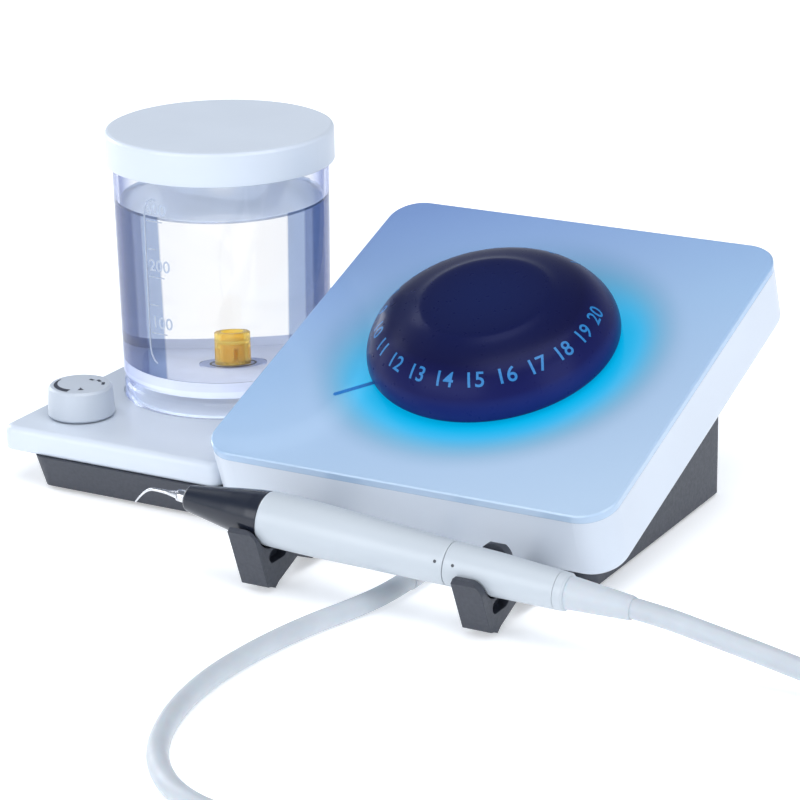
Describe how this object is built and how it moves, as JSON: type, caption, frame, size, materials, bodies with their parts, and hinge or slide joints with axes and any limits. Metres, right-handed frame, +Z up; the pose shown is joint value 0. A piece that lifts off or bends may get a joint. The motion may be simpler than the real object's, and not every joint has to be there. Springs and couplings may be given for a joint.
{
  "type": "ultrasonic scaler",
  "caption": "Dental ultrasonic scaler: sloping console with a domed power dial, clear water tank with a lid, flow knob, handpiece resting on two forks and its hose.",
  "frame": {"origin": "bottom centre of the bounding box without the hose, on the standing surface", "axes": "+X to the console's right seen from the front, -Y the front, +Z up; feet stand on z = 0"},
  "size_m": [0.4644, 0.3421, 0.1231],
  "materials": {
    "white_plastic": "satin gloss",
    "base_plastic": "fine texture",
    "blue_plate": "polished",
    "dial_plastic": "polished",
    "knob_plastic": "satin gloss",
    "carrier_plastic": "moulded",
    "socket_plastic": "moulded",
    "clear_plastic": "polished, clear",
    "light_plastic": "frosted, clear",
    "amber_plastic": "gloss",
    "cone_plastic": "satin",
    "hose_silicone": "satin silicone",
    "tube_silicone": "clear silicone",
    "black_rubber": "matte",
    "tip_steel": "polished",
    "shaft_steel": "turned",
    "brass": "turned",
    "ceramic": "fired ceramic",
    "board_green": "coated board",
    "power_parts": "anodised"
  },
  "bodies": {
    "base": {"base_housing": "base_plastic", "board_standoffs": "brass", "bottom_cover": "base_plastic", "case_screws": "shaft_steel", "console_shell": "white_plastic", "control_board": "board_green", "dial_bush": "brass", "dial_encoder": "carrier_plastic", "flow_valve": "white_plastic", "footswitch_socket": "socket_plastic", "generator_board": "board_green", "generator_parts": "power_parts", "holder_left": "base_plastic", "holder_right": "base_plastic", "hose_coil": "hose_silicone", "hose_gland": "hose_silicone", "hose_lead": "hose_silicone", "hose_run": "hose_silicone", "led_board": "board_green", "light_guide": "light_plastic", "platform_floor": "base_plastic", "power_socket": "socket_plastic", "pump_head": "carrier_plastic", "pump_motor": "carrier_plastic", "pump_tube": "tube_silicone", "rubber_feet": "black_rubber", "seat_oring": "black_rubber", "small_screws": "shaft_steel", "switch_frame": "carrier_plastic", "tank_platform": "white_plastic", "tank_seat": "white_plastic", "top_plate": "blue_plate", "water_tubes": "tube_silicone"},
    "dial": {"dial_dome": "dial_plastic", "dial_carrier": "carrier_plastic", "dial_shaft": "shaft_steel"},
    "knob": {"flow_knob": "knob_plastic", "knob_shaft": "shaft_steel"},
    "tank": {"tank_body": "clear_plastic", "tank_filter": "amber_plastic"},
    "lid": {"tank_lid": "white_plastic", "lid_seal": "black_rubber"},
    "switch": {"power_switch": "carrier_plastic"},
    "pump": {"pump_rotor": "shaft_steel", "pump_rollers": "carrier_plastic"},
    "hose_end": {"hose_plug": "brass", "plug_oring": "black_rubber", "connector_sleeve": "white_plastic", "connector_ring": "white_plastic", "strain_relief": "hose_silicone"},
    "handpiece": {"handpiece_shell": "white_plastic", "nose_cone": "cone_plastic", "nose_light": "light_plastic", "ultrasonic_horn": "shaft_steel", "piezo_rings": "ceramic", "counter_mass": "shaft_steel", "handpiece_orings": "black_rubber", "scaling_tip": "tip_steel", "socket_block": "socket_plastic"}
  },
  "joints": [
    {"name": "dial_turn", "type": "hinge", "parent": "base", "child": "dial", "pos_m": [0.0465, 0.0163, 0.05968], "axis": [0, -0.342, 0.9397], "range_deg": [-146, 164]},
    {"name": "knob_turn", "type": "hinge", "parent": "base", "child": "knob", "pos_m": [-0.1053, -0.021, 0.0227], "axis": [0, 0, 1], "range_deg": [-135, 135]},
    {"name": "tank_lift", "type": "slide", "parent": "base", "child": "tank", "axis": [0, 0, 1], "range_m": [0, 0.08]},
    {"name": "lid_lift", "type": "slide", "parent": "tank", "child": "lid", "axis": [0, 0, 1], "range_m": [0, 0.04]},
    {"name": "handpiece_lift", "type": "slide", "parent": "base", "child": "hose_end", "axis": [0, 0, 1], "range_m": [0, 0.04]},
    {"name": "handpiece_unplug", "type": "slide", "parent": "hose_end", "child": "handpiece", "axis": [-0.9986, 0, 0.0523], "range_m": [0, 0.026]},
    {"name": "power_switch_rock", "type": "hinge", "parent": "base", "child": "switch", "pos_m": [0.088, 0.063, 0.027], "axis": [0, 0, 1], "range_deg": [-12, 0]},
    {"name": "pump_spin", "type": "hinge", "parent": "base", "child": "pump", "pos_m": [-0.008, 0.038, 0.0037], "axis": [0, 0, 1], "continuous": true}
  ]
}
